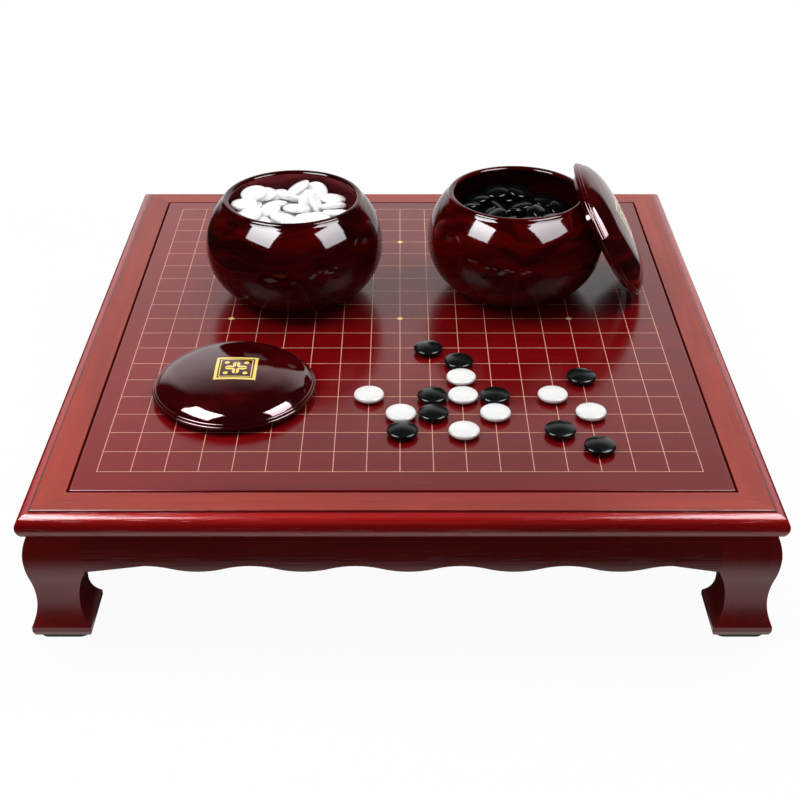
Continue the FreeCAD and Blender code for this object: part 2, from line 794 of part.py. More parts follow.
def lid_outline():
    rim = lid_radius
    under = dim("lid_flange_under")
    edge_top = under + dim("lid_edge_thick")
    spigot = dim("bowl_mouth_radius") - dim("lid_mouth_gap")
    hollow = spigot - dim("lid_spigot_wall")
    bulge, edge = dim("lid_edge_bulge"), dim("lid_edge_thick")
    edge_radius = (edge * edge / 4 + bulge * bulge) / (2 * bulge)
    dome = rim - dim("lid_dome_edge")
    start = dim("lid_dome_start")
    shoulder, shoulder_height = rim - dim("lid_shoulder_inset"), dim("lid_shoulder_height")
    top = dim("lid_height")
    crown_radius = arc_radius(top - shoulder_height, shoulder)
    ceiling = top - dim("lid_wall")
    ceiling_radius = arc_radius(ceiling - under, hollow)
    return [
        (hollow, 0), (spigot, 0), (spigot, under),
        (rim - bulge, under, edge_radius, -1), (rim - bulge, edge_top),
        (rim - dim("lid_bead_step"), edge_top, dim("lid_bead_radius"), -1),
        (dome, start, dim("lid_shoulder_bend"), -1),
        (shoulder, shoulder_height, crown_radius, -1),
        (0, top),
        (0, ceiling, ceiling_radius, 1),
        (hollow, under),
    ]


def make_lid(name):
    return turned_body(f"lid_{name}", lid_outline())


lying = make_lid("white")
stand(lying, dim("white_lid_across"), dim("white_lid_along"), playing_surface)
keep("lid_white", lying)

leaning = make_lid("black")
lean = math.radians(dim("black_lid_lean").number)
rim_drop = lid_radius * math.sin(lean)
rim_lift = (dim("lid_flange_under") + dim("lid_edge_thick") / 2) * math.cos(lean)
leaning_height = playing_surface + rim_drop - rim_lift + dim("rest_gap")
turn = (FreeCAD.Rotation(UP, dim("black_lid_turn").number)
        .multiply(FreeCAD.Rotation(FreeCAD.Vector(0, 1, 0), dim("black_lid_lean").number)))
doc.recompute()


def distance_off(leaning_shape, bowl_shape, heading):
    """How far along the heading from the bowl's middle the lid must stand to rest on it."""
    near, far = 0.0, (dim("bowl_radius") + lid_radius).number
    while far - near > 0.01:
        middle = (near + far) / 2
        trial = leaning_shape.copy()
        trial.translate(heading * middle)
        if trial.distToShape(bowl_shape)[0] < dim("rest_gap").number:
            near = middle
        else:
            far = middle
    return far


bearing = math.radians(dim("black_lid_bearing").number)
heading = FreeCAD.Vector(math.cos(bearing), math.sin(bearing), 0)
lid_shape = leaning.Shape.copy()
lid_shape.Placement = FreeCAD.Placement(FreeCAD.Vector(
    dim("black_bowl_across").number, dim("black_bowl_along").number, leaning_height.number), turn)
off = distance_off(lid_shape, doc.getObject("bowl_black").Shape, heading)
stand(leaning, dim("black_bowl_across") + off * heading.x,
      dim("black_bowl_along") + off * heading.y, leaning_height, turn)
keep("lid_black", leaning)

# ---------------------------------------------------------------- stones


def stone_outline():
    """A stone from below: a small flat, a shallow dome, a round edge and a dome again."""
    radius, thick = stone_radius, dim("stone_thick")
    tall, reach = dim("stone_edge_tall"), dim("stone_edge_reach")
    shoulder = radius - reach
    dome = (thick - tall) / 2
    dome_radius = arc_radius(dome, shoulder)
    edge_radius = (tall * tall / 4 + reach * reach) / (2 * reach)
    return [
        (0, 0), (dim("stone_flat"), 0, dome_radius, -1),
        (shoulder, dome, edge_radius, -1),
        (shoulder, thick - dome, dome_radius, -1),
        (0, thick),
    ]


# every stone in play: colour, column right of the middle, row behind the middle, and how
# far the hand left it from the crossing (across, along)
IN_PLAY = [
    ("black", 1, -2, -0.9, -6.1),
    ("black", 2, -3, -0.7, -1.9),
    ("black", 1, -5, 0.9, -3.7),
    ("black", 3, -5, 1.2, -3.7),
    ("black", 1, -6, 1.1, -3.2),
    ("black", 0, -7, 1.6, -2.6),
    ("black", 6, -4, -0.9, -0.6),
    ("black", 5, -7, -1.0, -1.3),
    ("black", 6, -8, 1.5, 2.3),
    ("white", 2, -4, 0.2, -1.6),
    ("white", 2, -5, 0.6, -3.3),
    ("white", -1, -5, 0.1, -2.6),
    ("white", 0, -6, 0.6, -3.7),
    ("white", 3, -6, 0.2, -3.0),
    ("white", 2, -7, -0.4, -2.4),
    ("white", 5, -5, -1.9, -2.5),
    ("white", 6, -6, 0.5, -2.1),
]

placed_so_far = {"black": 0, "white": 0}
for colour, column, line, off_across, off_along in IN_PLAY:
    placed_so_far[colour] += 1
    name = f"{colour}_stone_{placed_so_far[colour]}"
    stone = turned_body(f"{name}_turned", stone_outline())
    stand(stone, dim("grid_shift_across") + column * dim("pitch_across") + off_across,
          dim("grid_shift_along") + line * dim("pitch_along") + off_along, playing_surface)
    keep(name, stone)

# ---------------------------------------------------------------- heaps in the bowls


def inner_wall(height):
    """Radius of the bowl's inner wall at a height below its widest."""
    widest = dim("bowl_widest_height").number
    floor = dim("bowl_floor").number
    inside = (dim("bowl_radius") - dim("bowl_wall")).number
    floor_radius = (dim("bowl_foot_radius") - dim("bowl_floor_inset")).number
    run, rise = inside - floor_radius, widest - floor
    radius = (run * run + rise * rise) / (2 * run)
    depth = max(widest - height, 0.0)
    return inside - radius + math.sqrt(radius * radius - depth * depth)


def ring_spots(limit, spacing):
    """(ring radius, stones in it) from the outside in, for stones that clear each other."""
    rings = []
    reach = limit - spacing / 2
    while reach >= spacing / 2:
        rings.append((reach, int(math.pi / math.asin(spacing / 2 / reach))))
        reach -= spacing
    if reach >= 0:
        rings.append((0.0, 1))
    return rings


def heap_placements(top):
    thick = dim("stone_thick").number
    gap = dim("heap_gap").number
    spacing = 2 * stone_radius.number + gap
    dome = (thick - dim("stone_edge_tall").number) / 2
    height = dim("bowl_floor").number
    layer = 0
    while height + thick <= top:
        mouth_limit = (dim("bowl_mouth_radius") - dim("heap_slack")).number
        wall_limit = inner_wall(height + dome) - dim("rest_gap").number
        for reach, count in ring_spots(min(mouth_limit, wall_limit), spacing):
            for index in range(count):
                angle = 2 * math.pi * (index + 0.5 * (layer % 2)) / count
                yield FreeCAD.Placement(FreeCAD.Vector(
                    reach * math.cos(angle), reach * math.sin(angle), height),
                    FreeCAD.Rotation())
        height += thick + gap
        layer += 1


doc.recompute()
stone_shape = doc.getObject("black_stone_1_turned").Shape.copy()
stone_shape.Placement = FreeCAD.Placement()
for colour in ("white", "black"):
    heap = copies(f"heap_{colour}", stone_shape, heap_placements(dim(f"{colour}_heap_top").number))
    stand(heap, dim(f"{colour}_bowl_across"), dim(f"{colour}_bowl_along"), playing_surface)
    keep(f"{colour}_stones_in_bowl", heap)

# ---------------------------------------------------------------- checks and STEP files

doc.recompute()
failed = [thing.Name for thing in doc.Objects
          if {"Invalid", "Error"} & set(thing.State)]
for node in nodes:
    if node.Shape.isNull() or not node.Shape.isValid():
        failed.append(f"{node.Label} (shape)")
if failed:
    raise RuntimeError("these did not build: " + ", ".join(failed))

os.makedirs("parts", exist_ok=True)
for node in nodes:
    node.Shape.exportStep(os.path.join("parts", f"{node.Label}.step"))
    box = node.Shape.BoundBox
    print(f"{node.Label:28s} solids {len(node.Shape.Solids):3d}  volume {node.Shape.Volume:12.1f}"
          f"  x {box.XMin:8.2f} {box.XMax:8.2f}  y {box.YMin:8.2f} {box.YMax:8.2f}"
          f"  z {box.ZMin:7.2f} {box.ZMax:7.2f}")
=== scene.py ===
import math
import random

import bmesh
import bpy
from mathutils import Matrix, Vector


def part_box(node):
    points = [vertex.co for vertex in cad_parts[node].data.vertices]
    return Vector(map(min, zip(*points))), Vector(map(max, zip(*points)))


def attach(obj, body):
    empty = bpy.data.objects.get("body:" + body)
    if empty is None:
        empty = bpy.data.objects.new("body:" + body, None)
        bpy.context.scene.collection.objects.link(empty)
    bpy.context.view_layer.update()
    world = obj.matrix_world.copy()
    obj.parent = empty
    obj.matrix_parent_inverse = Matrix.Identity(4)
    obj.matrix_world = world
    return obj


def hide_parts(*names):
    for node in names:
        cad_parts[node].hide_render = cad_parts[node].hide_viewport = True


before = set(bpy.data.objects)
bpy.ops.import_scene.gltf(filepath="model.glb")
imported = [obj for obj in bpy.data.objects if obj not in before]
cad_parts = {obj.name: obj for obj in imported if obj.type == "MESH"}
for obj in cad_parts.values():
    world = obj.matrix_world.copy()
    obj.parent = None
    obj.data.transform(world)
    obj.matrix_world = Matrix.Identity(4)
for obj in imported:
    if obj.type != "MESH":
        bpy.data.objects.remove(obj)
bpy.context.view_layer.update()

# A footed Go table: framed, lacquered panel with a gold grid, two turned bowls of stones,
# their domed lids and the stones in play.  Metres.  Origin on the floor, +Y away from the
# player, +Z up.  Outlines and the lids' ornament are in millimetres.

MM = 0.001
BOARD_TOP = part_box("playing_panel")[1].z
GRID_MIDDLE = Vector((-1.4 * MM, 3.3 * MM))
GRID_PITCH = Vector((22.0 * MM, 23.3 * MM))
GRID_REACH = 9                      # lines on each side of the middle one
STAR_STEP = 6.0                     # lines from one star point to the next
STONE_RADIUS = 10.7 * MM
STONE_THICK = 6.6 * MM
FLAT_REACH = (233.5 * MM, 247.8 * MM)      # of the frame's flat top, before the moulding
TABLE_REACH = (242.7 * MM, 257.0 * MM)     # of the frame's outer edge


# ---------------------------------------------------------------- shader helpers

def new_group(name, inputs, outputs):
    """A shader node group with named sockets: lists of (kind, name, default)."""
    group = bpy.data.node_groups.new(name, "ShaderNodeTree")
    for kind, label, default in inputs:
        socket = group.interface.new_socket(label, in_out="INPUT", socket_type="NodeSocket" + kind)
        if default is not None:
            socket.default_value = default
    for kind, label in outputs:
        group.interface.new_socket(label, in_out="OUTPUT", socket_type="NodeSocket" + kind)
    return group


class Nodes:
    """Builds nodes in a tree, taking each input as a number, a colour or another output."""

    def __init__(self, tree):
        self.tree = tree

    def add(self, kind, inputs=(), **settings):
        node = self.tree.nodes.new(kind)
        for name, value in settings.items():
            setattr(node, name, value)
        for name, value in dict(inputs).items():
            self.feed(node.inputs[name], value)
        return node

    def feed(self, socket, value):
        if isinstance(value, bpy.types.NodeSocket):
            self.tree.links.new(value, socket)
        else:
            socket.default_value = value

    def math(self, operation, *values, clamp=False):
        node = self.add("ShaderNodeMath", operation=operation, use_clamp=clamp)
        for socket, value in zip(node.inputs, values):
            self.feed(socket, value)
        return node.outputs[0]

    def split(self, vector):
        """Its X, Y and Z."""
        return self.add("ShaderNodeSeparateXYZ", inputs={"Vector": vector}).outputs

    def choose(self, factor, low, high):
        """One number where the factor is 0, another where it is 1."""
        node = self.add("ShaderNodeMix", data_type="FLOAT")
        self.feed(node.inputs[0], factor)
        self.feed(node.inputs[2], low)
        self.feed(node.inputs[3], high)
        return node.outputs[0]

    def blend(self, factor, low, high):
        """One colour where the factor is 0, another where it is 1."""
        node = self.add("ShaderNodeMix", data_type="RGBA")
        self.feed(node.inputs[0], factor)
        self.feed(node.inputs[6], low)
        self.feed(node.inputs[7], high)
        return node.outputs[2]

    def spread(self, value, low, high, to_low=0.0, to_high=1.0):
        """A smooth step from one value to the other; low may be the larger."""
        node = self.add("ShaderNodeMapRange", interpolation_type="SMOOTHSTEP", inputs={
            "Value": value, "From Min": low, "From Max": high,
            "To Min": to_low, "To Max": to_high})
        return node.outputs[0]

    def noise(self, vector, scale, detail=4.0, roughness=0.5, distortion=0.0):
        node = self.add("ShaderNodeTexNoise", inputs={
            "Vector": vector, "Scale": scale, "Detail": detail,
            "Roughness": roughness, "Distortion": distortion})
        return node.outputs["Fac"]

    def stretched(self, vector, scale, turn=(0, 0, 0)):
        node = self.add("ShaderNodeMapping", inputs={
            "Vector": vector, "Scale": scale, "Rotation": turn})
        return node.outputs[0]

    def inside(self, group, inputs):
        node = self.add("ShaderNodeGroup", node_tree=group)
        for name, value in inputs.items():
            self.feed(node.inputs[name], value)
        return node


def open_group(group):
    nodes = Nodes(group)
    return nodes, nodes.add("NodeGroupInput").outputs, nodes.add("NodeGroupOutput").inputs


def colour(red, green, blue):
    return (red, green, blue, 1.0)


# ---------------------------------------------------------------- shared effects

def make_grain_group():
    """Long wood grain along the vector's X: a colour and a height."""
    group = new_group("wood grain", [
        ("Vector", "Vector", None), ("Float", "Seed", 0.0),
        ("Color", "Dark", colour(0.1, 0.02, 0.01)), ("Color", "Light", colour(0.3, 0.05, 0.03)),
        ("Float", "Streaks", 0.5)], [("Color", "Color"), ("Float", "Height"), ("Float", "Mask")])
    nodes, given, out = open_group(group)
    shifted = nodes.add("ShaderNodeVectorMath", operation="ADD")
    nodes.feed(shifted.inputs[0], given["Vector"])
    nodes.feed(shifted.inputs[1], given["Seed"])
    vector = shifted.outputs[0]
    cloudy = nodes.noise(nodes.stretched(vector, (3, 14, 14)), 2.0, 3.0)
    streaks = nodes.noise(nodes.stretched(vector, (6, 160, 160)), 1.0, 5.0, 0.65, 0.4)
    pores = nodes.noise(nodes.stretched(vector, (30, 1100, 1100)), 1.0, 2.0, 0.5)
    streaks = nodes.spread(streaks, 0.3, 0.7)
    pore_mask = nodes.spread(pores, 0.56, 0.72)
    mixed = nodes.math("MULTIPLY_ADD", streaks, given["Streaks"],
                       nodes.math("MULTIPLY", nodes.spread(cloudy, 0.3, 0.7), 0.5))
    mask = nodes.math("SUBTRACT", mixed, nodes.math("MULTIPLY", pore_mask, 0.35), clamp=True)
    nodes.feed(out["Color"], nodes.blend(mask, given["Dark"], given["Light"]))
    nodes.feed(out["Height"], nodes.math("SUBTRACT", nodes.math("MULTIPLY", streaks, 0.4),
                                         pore_mask))
    nodes.feed(out["Mask"], mask)
    return group


def make_burl_group():
    """The swirling figure of a turned hardwood under dark lacquer."""
    group = new_group("turned figure", [
        ("Vector", "Vector", None), ("Color", "Dark", colour(0.01, 0.001, 0.002)),
        ("Color", "Light", colour(0.1, 0.003, 0.004))], [("Color", "Color")])
    nodes, given, out = open_group(group)
    bent = nodes.add("ShaderNodeTexNoise", inputs={
        "Vector": given["Vector"], "Scale": 14.0, "Detail": 2.0})
    pushed = nodes.add("ShaderNodeVectorMath", operation="MULTIPLY_ADD")
    nodes.feed(pushed.inputs[0], bent.outputs["Color"])
    pushed.inputs[1].default_value = (0.05, 0.05, 0.05)
    nodes.feed(pushed.inputs[2], given["Vector"])
    bands = nodes.noise(nodes.stretched(pushed.outputs[0], (14, 14, 75), (0.25, 0.1, 0)), 1.0,
                        6.0, 0.6, 0.8)
    broad = nodes.noise(given["Vector"], 22.0, 2.0)
    mask = nodes.math("MULTIPLY", nodes.spread(bands, 0.38, 0.68),
                      nodes.spread(broad, 0.25, 0.65, 0.35, 1.0))
    nodes.feed(out["Color"], nodes.blend(mask, given["Dark"], given["Light"]))
    return group


def make_lacquer_group():
    """Faint unevenness of a brushed or sprayed finish: a height and a roughness."""
    group = new_group("lacquer unevenness", [
        ("Vector", "Vector", None), ("Float", "Roughness", 0.1), ("Float", "Spread", 0.04)],
        [("Float", "Height"), ("Float", "Roughness")])
    nodes, given, out = open_group(group)
    swell = nodes.noise(given["Vector"], 60.0, 2.0)
    fine = nodes.noise(given["Vector"], 900.0, 2.0)
    nodes.feed(out["Height"], nodes.math("MULTIPLY_ADD", fine, 0.06, swell))
    smudges = nodes.noise(given["Vector"], 25.0, 4.0, 0.6)
    nodes.feed(out["Roughness"], nodes.math(
        "MULTIPLY_ADD", nodes.math("SUBTRACT", smudges, 0.5), given["Spread"],
        given["Roughness"]))
    return group


GRAIN = make_grain_group()
FIGURE = make_burl_group()
LACQUER = make_lacquer_group()


def new_material(name):
    material = bpy.data.materials.new(name)
    material.use_nodes = True
    nodes = Nodes(material.node_tree)
    shader = material.node_tree.nodes["Principled BSDF"]
    place = nodes.add("ShaderNodeTexCoord").outputs["Object"]
    return material, nodes, shader, place


def bump(nodes, height, distance, normal=None):
    node = nodes.add("ShaderNodeBump", inputs={
        "Height": height, "Strength": 1.0, "Distance": distance})
    if normal is not None:
        nodes.feed(node.inputs["Normal"], normal)
    return node.outputs["Normal"]


# ---------------------------------------------------------------- finishes, some with painted light and shade

FRAME_DARK, FRAME_LIGHT = colour(0.205, 0.0085, 0.002), colour(0.34, 0.023, 0.004)
# the moulding's crimson is partly its colour and partly painted highlight, brighter than the
# rail's flat
MOULDING_DARK, MOULDING_LIGHT = colour(0.27, 0.001, 0.001), colour(0.45, 0.0030, 0.0025)
# painted shade: the dark colour laid into the groove between a rail's flat and its moulding
GROOVE_PAINTED_SHADE = colour(0.05, 0.001, 0.001)
STAND_DARK, STAND_LIGHT = colour(0.12, 0.0008, 0.0004), colour(0.22, 0.003, 0.0008)
# painted light: the legs are the aprons' wood, coloured lighter for the light that falls on their
# knees and feet
LEG_PAINTED_LIT_DARK, LEG_PAINTED_LIT_LIGHT = colour(0.18, 0.0008, 0.0004), colour(0.32, 0.003, 0.0008)
RAW_DARK, RAW_LIGHT = colour(0.22, 0.09, 0.04), colour(0.42, 0.2, 0.1)
PANEL_DARK, PANEL_LIGHT = colour(0.122, 0.001, 0.002), colour(0.170, 0.002, 0.004)
# painted light: the paler colour the panel is blended to towards its left
PANEL_PAINTED_LIGHT = colour(0.27, 0.003, 0.006)
LINE_GOLD, STAR_GOLD = colour(0.70, 0.38, 0.26), colour(0.95, 0.62, 0.25)
GILT = colour(0.92, 0.70, 0.17)
# the stones in the bowls are the same as those in play: the white heap's colour is painted light,
# lighter, and the black heap's is painted shade, darker
BLACK_GLAZE, BLACK_HEAP_GLAZE_PAINTED_SHADE = colour(0.004, 0.005, 0.005), colour(0.002, 0.0025, 0.0025)
WHITE_GLAZE, WHITE_HEAP_GLAZE_PAINTED_LIGHT = colour(0.86, 0.86, 0.85), colour(0.93, 0.93, 0.92)
BLACK_GLAZE_IOR = 1.38


def past_reach(nodes, parts, reach):
    """How far out past a rectangle about the origin a spot lies, in metres."""
    past = [nodes.math("SUBTRACT", nodes.math("ABSOLUTE", parts[axis]), reach[axis])
            for axis in (0, 1)]
    return nodes.math("MAXIMUM", *past)


GRAIN_TURNS = {"x": (0, 0, 0), "y": (0, 0, -math.pi / 2), "z": (0, math.pi / 2, 0)}


def satin_wood(name, dark, light, along, roughness, streaks=0.5, seed=0.0, coat=0.0,
               moulding=None):
    """Stained wood whose grain runs along X, Y or Z; moulding is a rail's roughness there. On a
    rail the moulding is coloured a brighter crimson than the flat, partly painted highlight, and
    the groove between them is darkened with painted shade.
    """
    material, nodes, shader, place = new_material(name)
    vector = nodes.stretched(place, (1, 1, 1), GRAIN_TURNS[along])
    grain = nodes.inside(GRAIN, {"Vector": vector, "Seed": seed, "Dark": dark, "Light": light,
                                 "Streaks": streaks})
    finish = nodes.inside(LACQUER, {"Vector": place, "Roughness": roughness, "Spread": 0.12})
    stain_and_painted_light = grain.outputs["Color"]
    sheen = finish.outputs["Roughness"]
    if moulding is not None:
        past = past_reach(nodes, nodes.split(place), FLAT_REACH)
        outside = nodes.spread(past, 0.0, 0.6 * MM)
        sheen = nodes.math("MULTIPLY_ADD", outside, moulding - roughness, sheen)
        # partly painted highlight: the moulding is coloured a brighter crimson than the flat
        crimson_and_painted_highlight = nodes.blend(grain.outputs["Mask"], MOULDING_DARK, MOULDING_LIGHT)
        stain_and_painted_light = nodes.blend(outside, stain_and_painted_light, crimson_and_painted_highlight)
        # painted shade darkens the groove at the flat's outer edge
        groove = nodes.math("MULTIPLY", nodes.spread(past, 0.0, 0.3 * MM),
                            nodes.spread(past, 2.2 * MM, 1.7 * MM))
        stain_and_painted_light = nodes.blend(nodes.math("MULTIPLY", groove, 0.8), stain_and_painted_light, GROOVE_PAINTED_SHADE)
    nodes.feed(shader.inputs["Base Color"], stain_and_painted_light)
    nodes.feed(shader.inputs["Roughness"], sheen)
    fine = bump(nodes, grain.outputs["Height"], 0.00006)
    nodes.feed(shader.inputs["Normal"], bump(nodes, finish.outputs["Height"], 0.00015, fine))
    shader.inputs["Coat Weight"].default_value = coat
    shader.inputs["Coat Roughness"].default_value = 0.25
    return material


def ruled_panel():
    """Deep red lacquer with the gold grid and its nine star points, with painted light making it
    paler towards the left.
    """
    material, nodes, shader, place = new_material("ruled_panel")
    grain = nodes.inside(GRAIN, {"Vector": place, "Seed": 4.2, "Dark": PANEL_DARK,
                                 "Light": PANEL_LIGHT, "Streaks": 0.5})
    finish = nodes.inside(LACQUER, {"Vector": place, "Roughness": 0.19, "Spread": 0.03})
    parts = nodes.split(place)
    # painted light: paler towards the left edge
    paler = nodes.spread(parts[0], -80 * MM, -200 * MM, 0.0, 0.45)
    stain_and_painted_light = nodes.blend(paler, grain.outputs["Color"], PANEL_PAINTED_LIGHT)
    offsets, inside_grid, star_offsets = [], [], []
    for axis in (0, 1):
        steps = nodes.math("DIVIDE", nodes.math("SUBTRACT", parts[axis], GRID_MIDDLE[axis]),
                           GRID_PITCH[axis])
        off = nodes.math("ABSOLUTE", nodes.math("SUBTRACT", steps, nodes.math("ROUND", steps)))
        offsets.append(nodes.math("MULTIPLY", off, GRID_PITCH[axis]))
        inside_grid.append(nodes.math("LESS_THAN", nodes.math("ABSOLUTE", steps),
                                      GRID_REACH + 0.35 * MM / GRID_PITCH[axis]))
        sixths = nodes.math("DIVIDE", steps, STAR_STEP)
        off = nodes.math("ABSOLUTE", nodes.math("SUBTRACT", sixths, nodes.math("ROUND", sixths)))
        star_offsets.append(nodes.math("MULTIPLY", off, STAR_STEP * GRID_PITCH[axis]))
    within = nodes.math("MULTIPLY", *inside_grid)
    nearest = nodes.math("MINIMUM", *offsets)
    lines = nodes.spread(nearest, 0.30 * MM, 0.17 * MM)
    star_reach = nodes.math("ADD", *star_offsets)
    stars = nodes.spread(star_reach, 3.2 * MM, 2.6 * MM)
    gold = nodes.math("MULTIPLY", nodes.math("MAXIMUM", lines, stars), within)
    top = nodes.math("GREATER_THAN", parts[2], BOARD_TOP - 0.5 * MM)
    gold = nodes.math("MULTIPLY", gold, top)
    gilding = nodes.blend(stars, LINE_GOLD, STAR_GOLD)
    nodes.feed(shader.inputs["Base Color"], nodes.blend(gold, stain_and_painted_light, gilding))
    nodes.feed(shader.inputs["Roughness"], nodes.math("MULTIPLY_ADD", gold, 0.2,
                                                      finish.outputs["Roughness"]))
    brushed = bump(nodes, grain.outputs["Height"], 0.0000015)
    nodes.feed(shader.inputs["Normal"], bump(nodes, finish.outputs["Height"], 0.00003, brushed))
    return material


def gloss_bowl(name, dark, light, ornament=False, ior=1.47, tint=(1.0, 1.0, 1.0)):
    """Dark lacquer over figured wood; a bowl is rubbed less bright towards its foot."""
    material, nodes, shader, place = new_material(name)
    figure = nodes.inside(FIGURE, {"Vector": place, "Dark": dark, "Light": light})
    finish = nodes.inside(LACQUER, {"Vector": place, "Roughness": 0.06, "Spread": 0.04})
    base, sheen = figure.outputs["Color"], finish.outputs["Roughness"]
    if ornament:
        base = nodes.blend(gilt_ornament(nodes), base, GILT)
    else:
        height = nodes.split(place)[2]
        duller = nodes.spread(height, BOARD_TOP + 50 * MM, BOARD_TOP + 25 * MM, 0.0, 0.16)
        sheen = nodes.math("ADD", sheen, duller)
    nodes.feed(shader.inputs["Base Color"], base)
    nodes.feed(shader.inputs["Roughness"], sheen)
    nodes.feed(shader.inputs["Normal"], bump(nodes, finish.outputs["Height"], 0.00016))
    shader.inputs["IOR"].default_value = ior
    shader.inputs["Specular Tint"].default_value = colour(*tint)
    return material


def gilt_ornament(nodes):
    """A square border round a four-petalled rosette and four dots, on the lid's own UV map."""
    half = 14.7                       # of the border, in millimetres
    flat = nodes.add("ShaderNodeUVMap", uv_map="lid_plan").outputs[0]
    across, along, _ = nodes.split(flat)
    wide, deep = nodes.math("ABSOLUTE", across), nodes.math("ABSOLUTE", along)
    square = nodes.math("MAXIMUM", wide, deep)
    border = nodes.math("MULTIPLY", nodes.spread(square, half + 0.15, half - 0.15),
                        nodes.spread(square, half - 2.3, half - 2.0))
    inner = nodes.math("MULTIPLY", nodes.spread(square, half - 3.1, half - 3.3),
                       nodes.spread(square, half - 4.0, half - 3.8))
    reach = nodes.math("SQRT", nodes.math("ADD", nodes.math("MULTIPLY", across, across),
                                          nodes.math("MULTIPLY", along, along)))
    angle = nodes.math("ARCTAN2", along, across)
    petal_edge = nodes.math("MULTIPLY_ADD", nodes.math(
        "ABSOLUTE", nodes.math("COSINE", nodes.math("MULTIPLY", angle, 2.0))), 5.2, 2.6)
    petals = nodes.spread(nodes.math("SUBTRACT", reach, petal_edge), 0.2, -0.2)
    eye = nodes.spread(reach, 1.5, 1.8)
    vein = nodes.spread(nodes.math("MINIMUM", wide, deep), 0.25, 0.5)
    petals = nodes.math("MULTIPLY", petals, nodes.math("MULTIPLY", eye, vein))
    corner = nodes.math("SQRT", nodes.math(
        "ADD", nodes.math("POWER", nodes.math("SUBTRACT", wide, 6.9), 2.0),
        nodes.math("POWER", nodes.math("SUBTRACT", deep, 6.9), 2.0)))
    dots = nodes.spread(corner, 1.9, 1.6)
    shapes = nodes.math("MAXIMUM", nodes.math("MAXIMUM", border, inner),
                        nodes.math("MAXIMUM", petals, dots))
    return shapes


def stone_finish(name, base, roughness, ior=1.5):
    material, nodes, shader, place = new_material(name)
    speck = nodes.noise(place, 350.0, 3.0)
    finish = nodes.inside(LACQUER, {"Vector": place, "Roughness": roughness, "Spread": 0.06})
    tint = nodes.math("MULTIPLY_ADD", speck, 0.1, 0.95)
    scaled = nodes.add("ShaderNodeVectorMath", operation="SCALE")
    scaled.inputs[0].default_value = base[:3]
    nodes.feed(scaled.inputs["Scale"], tint)
    nodes.feed(shader.inputs["Base Color"], scaled.outputs[0])
    nodes.feed(shader.inputs["Roughness"], finish.outputs["Roughness"])
    nodes.feed(shader.inputs["Normal"], bump(nodes, finish.outputs["Height"], 0.00006))
    shader.inputs["IOR"].default_value = ior
    return material


def plain_finish(name, base, roughness, metallic=0.0):
    material, nodes, shader, place = new_material(name)
    speck = nodes.noise(place, 700.0, 4.0)
    nodes.feed(shader.inputs["Base Color"], nodes.blend(
        speck, colour(*(c * 0.8 for c in base)), colour(*(c * 1.2 for c in base))))
    shader.inputs["Roughness"].default_value = roughness
    shader.inputs["Metallic"].default_value = metallic
    nodes.feed(shader.inputs["Normal"], bump(nodes, speck, 0.00005))
    return material


def assign(node_name, material):
    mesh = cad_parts[node_name].data
    mesh.materials.clear()
    mesh.materials.append(material)


def finish_cad_nodes():
    rail_x = satin_wood("rail_across", FRAME_DARK, FRAME_LIGHT, "x", 0.36, seed=1.0, coat=0.12,
                        moulding=0.2)
    rail_y = satin_wood("rail_along", FRAME_DARK, FRAME_LIGHT, "y", 0.36, seed=2.0, coat=0.12,
                        moulding=0.2)
    apron_x = satin_wood("apron_across", STAND_DARK, STAND_LIGHT, "x", 0.3, 0.3, 3.0, 0.3)
    apron_y = satin_wood("apron_along", STAND_DARK, STAND_LIGHT, "y", 0.3, 0.3, 4.0, 0.3)
    # the legs' lighter colours are painted light
    leg = satin_wood("leg_wood_painted_lit", LEG_PAINTED_LIT_DARK, LEG_PAINTED_LIT_LIGHT, "z", 0.3, 0.3, 5.0, 0.3)
    raw_x = satin_wood("raw_wood_across", RAW_DARK, RAW_LIGHT, "x", 0.6, 0.6, 6.0)
    raw_y = satin_wood("raw_wood_along", RAW_DARK, RAW_LIGHT, "y", 0.6, 0.6, 7.0)
    for side in ("front", "back"):
        assign(f"frame_rail_{side}", rail_x)
        assign(f"apron_{side}", apron_x)
    for side in ("left", "right"):
        assign(f"frame_rail_{side}", rail_y)
        assign(f"apron_{side}", apron_y)
        assign(f"panel_batten_{side}", raw_y)
    pad = plain_finish("foot_rubber", (0.012, 0.012, 0.012), 0.7)
    for corner in ("front_left", "front_right", "back_right", "back_left"):
        assign(f"leg_{corner}", leg)
        assign(f"foot_pad_{corner}", pad)
        assign(f"corner_block_{corner}", raw_x)
        assign(f"mitre_tongue_{corner}", raw_x)
    assign("corner_block_screws", plain_finish("zinc", (0.6, 0.56, 0.45), 0.35, 1.0))
    assign("playing_panel", ruled_panel())


# ---------------------------------------------------------------- turned shapes

def mesh_from(shape, name):
    mesh = bpy.data.meshes.new(name)
    shape.to_mesh(mesh)
    shape.free()
    return mesh


def object_from(shape, name):
    thing = bpy.data.objects.new(name, mesh_from(shape, name))
    bpy.context.collection.objects.link(thing)
    return thing


def arc_between(start, end, radius, turn, steps):
    """Points after start along the short arc to end: turn +1 bulges left of the way there."""
    chord = end - start
    half = chord.length / 2
    radius = max(radius, half)
    left = Vector((-chord.y, chord.x)).normalized()
    centre = (start + end) / 2 - left * turn * math.sqrt(radius * radius - half * half)
    sweep = -turn * 2 * math.asin(half / radius)
    spoke = start - centre
    return [centre + Matrix.Rotation(sweep * step / steps, 2) @ spoke
            for step in range(1, steps + 1)]


def outline_points(outline):
    """Entries (radius, height) in mm, or (radius, height, arc radius, turn, steps)."""
    points = [Vector(outline[0][:2])]
    for entry, following in zip(outline, outline[1:]):
        end = Vector(following[:2])
        if len(entry) == 2:
            points.append(end)
        else:
            points += arc_between(points[-1], end, *entry[2:])
    return points


